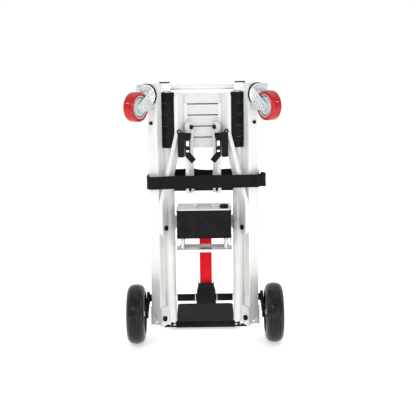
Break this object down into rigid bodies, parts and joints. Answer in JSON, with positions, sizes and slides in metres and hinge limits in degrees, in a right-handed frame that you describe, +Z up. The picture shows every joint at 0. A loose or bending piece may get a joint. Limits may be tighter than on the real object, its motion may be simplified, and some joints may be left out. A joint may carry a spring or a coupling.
{
  "type": "stair climbing trolley",
  "caption": "Folded battery stair climbing trolley: twin poles with slatted back, canted swivel caster legs, cranked drive wheels, toe plate and telescopic handle.",
  "frame": {"origin": "floor level under the middle of the trolley's outline, with casters, wheels and toe plate in their stored places", "axes": "+X across to the viewer's right, +Y from the user's side to the load side where the toe plate lies, +Z up along the poles"},
  "size_m": [0.532, 0.4975, 0.888],
  "materials": {
    "anodised_tube": "satin anodised tube",
    "white_slat": "pale anodised extrusion",
    "black_plastic": "moulded black plastic",
    "black_steel": "black powder coat",
    "zinc_steel": "bright zinc plate",
    "bright_steel": "machined steel",
    "grey_plate": "folded sheet",
    "cast_alloy": "cast alloy",
    "tyre_rubber": "solid rubber",
    "grey_rim": "moulded rim",
    "red_tread": "red polyurethane",
    "light_core": "machined core",
    "red_belt": "red drive belt",
    "black_webbing": "woven webbing",
    "battery_cell": "shrink-wrapped cell block",
    "clear_guide": "pale nylon"
  },
  "bodies": {
    "main_frame": {"pole_left": "anodised_tube", "pole_right": "anodised_tube", "slats": "white_slat", "slat_caps": "black_plastic", "tie_plate": "grey_plate", "pole_collars": "black_plastic", "rails": "anodised_tube", "rail_screws": "black_steel", "gussets": "grey_plate", "crossbar": "black_plastic", "toe_brackets": "black_steel", "toe_pin": "bright_steel", "shaft_bushes": "clear_guide", "drive_belt": "red_belt", "drive_motor": "black_steel", "belt_cover": "black_plastic", "dock_tray": "bright_steel", "dock_posts": "clear_guide", "cross_plate": "grey_plate", "hinge_lugs": "cast_alloy", "strap_rear": "black_webbing"},
    "handle": {"handle_rods": "anodised_tube", "handle_tees": "cast_alloy", "handle_bar": "anodised_tube"},
    "toe_plate": {"toe_plate": "black_steel"},
    "climbing_shaft": {"climbing_shaft": "black_steel", "shaft_pulley": "black_plastic", "shaft_hardware": "zinc_steel", "cranks": "black_steel", "wheel_axles": "bright_steel"},
    "motor_pulley": {"motor_pulley": "bright_steel"},
    "wheel_left": {"tyre_left": "tyre_rubber", "wheel_rim_left": "grey_rim"},
    "wheel_right": {"tyre_right": "tyre_rubber", "wheel_rim_right": "grey_rim"},
    "battery": {"battery_case": "black_plastic", "battery_cells": "battery_cell", "battery_lid": "grey_plate"},
    "battery_knob": {"battery_knob": "black_plastic"},
    "battery_bail": {"battery_bail": "bright_steel"},
    "leg_frame": {"side_tube_left": "anodised_tube", "side_tube_right": "anodised_tube", "side_plugs": "clear_guide", "leg_feet": "cast_alloy", "leg_brackets": "cast_alloy", "leg_bolts": "black_steel", "bent_arm_left": "anodised_tube", "bent_arm_right": "anodised_tube", "clamp_bodies": "black_plastic", "strap_front": "black_webbing", "caster_plates": "zinc_steel", "caster_seals": "black_plastic"},
    "clamp_lever_left": {"clamp_lever_left": "black_plastic"},
    "clamp_lever_right": {"clamp_lever_right": "black_plastic"},
    "caster_fork_left": {"caster_fork_left": "zinc_steel"},
    "caster_wheel_left": {"caster_tread_left": "red_tread", "caster_core_left": "light_core"},
    "caster_fork_right": {"caster_fork_right": "zinc_steel"},
    "caster_wheel_right": {"caster_tread_right": "red_tread", "caster_core_right": "light_core"}
  },
  "joints": [
    {"name": "leg_frame_fold", "type": "hinge", "parent": "main_frame", "child": "leg_frame", "pos_m": [0, -0.058, 0.052], "axis": [1, 0, 0], "range_deg": [0, 35]},
    {"name": "handle_slide", "type": "slide", "parent": "main_frame", "child": "handle", "axis": [0, 0, 1], "range_m": [0, 0.45]},
    {"name": "toe_plate_fold", "type": "hinge", "parent": "main_frame", "child": "toe_plate", "pos_m": [0, -0.014, 0.016], "axis": [1, 0, 0], "range_deg": [0, 85]},
    {"name": "crank_turn", "type": "hinge", "parent": "main_frame", "child": "climbing_shaft", "pos_m": [0, -0.052, 0.127], "axis": [1, 0, 0], "continuous": true},
    {"name": "motor_turn", "type": "hinge", "parent": "main_frame", "child": "motor_pulley", "pos_m": [0, -0.052, 0.394], "axis": [1, 0, 0], "continuous": true},
    {"name": "wheel_left_spin", "type": "hinge", "parent": "climbing_shaft", "child": "wheel_left", "pos_m": [-0.2355, -0.146, 0.1015], "axis": [1, 0, 0], "continuous": true},
    {"name": "wheel_right_spin", "type": "hinge", "parent": "climbing_shaft", "child": "wheel_right", "pos_m": [0.2355, -0.146, 0.1015], "axis": [1, 0, 0], "continuous": true},
    {"name": "battery_lift", "type": "slide", "parent": "main_frame", "child": "battery", "axis": [0, 0, 1], "range_m": [0, 0.032]},
    {"name": "battery_knob_turn", "type": "hinge", "parent": "battery", "child": "battery_knob", "pos_m": [0.068, -0.136, 0.468], "axis": [0, 0, 1], "range_deg": [0, 270]},
    {"name": "battery_bail_swing", "type": "hinge", "parent": "battery", "child": "battery_bail", "pos_m": [0, -0.119, 0.4726], "axis": [1, 0, 0], "range_deg": [0, 90]},
    {"name": "clamp_lever_left_swing", "type": "hinge", "parent": "leg_frame", "child": "clamp_lever_left", "pos_m": [-0.0515, -0.129, 0.715], "axis": [-1, 0, 0], "range_deg": [0, 100]},
    {"name": "caster_left_swivel", "type": "hinge", "parent": "leg_frame", "child": "caster_fork_left", "pos_m": [-0.1782, -0.10086, 0.85], "axis": [-0.5, -0.866, 0], "continuous": true},
    {"name": "caster_left_spin", "type": "hinge", "parent": "caster_fork_left", "child": "caster_wheel_left", "pos_m": [-0.2182, -0.17014, 0.816], "axis": [0.866, -0.5, 0], "continuous": true},
    {"name": "clamp_lever_right_swing", "type": "hinge", "parent": "leg_frame", "child": "clamp_lever_right", "pos_m": [0.0515, -0.129, 0.715], "axis": [-1, 0, 0], "range_deg": [0, 100]},
    {"name": "caster_right_swivel", "type": "hinge", "parent": "leg_frame", "child": "caster_fork_right", "pos_m": [0.1782, -0.10086, 0.85], "axis": [0.5, -0.866, 0], "continuous": true},
    {"name": "caster_right_spin", "type": "hinge", "parent": "caster_fork_right", "child": "caster_wheel_right", "pos_m": [0.2182, -0.17014, 0.816], "axis": [0.866, 0.5, 0], "continuous": true}
  ],
  "couplings": [
    {"joint": "motor_turn", "follows": "crank_turn", "ratio": 1}
  ]
}
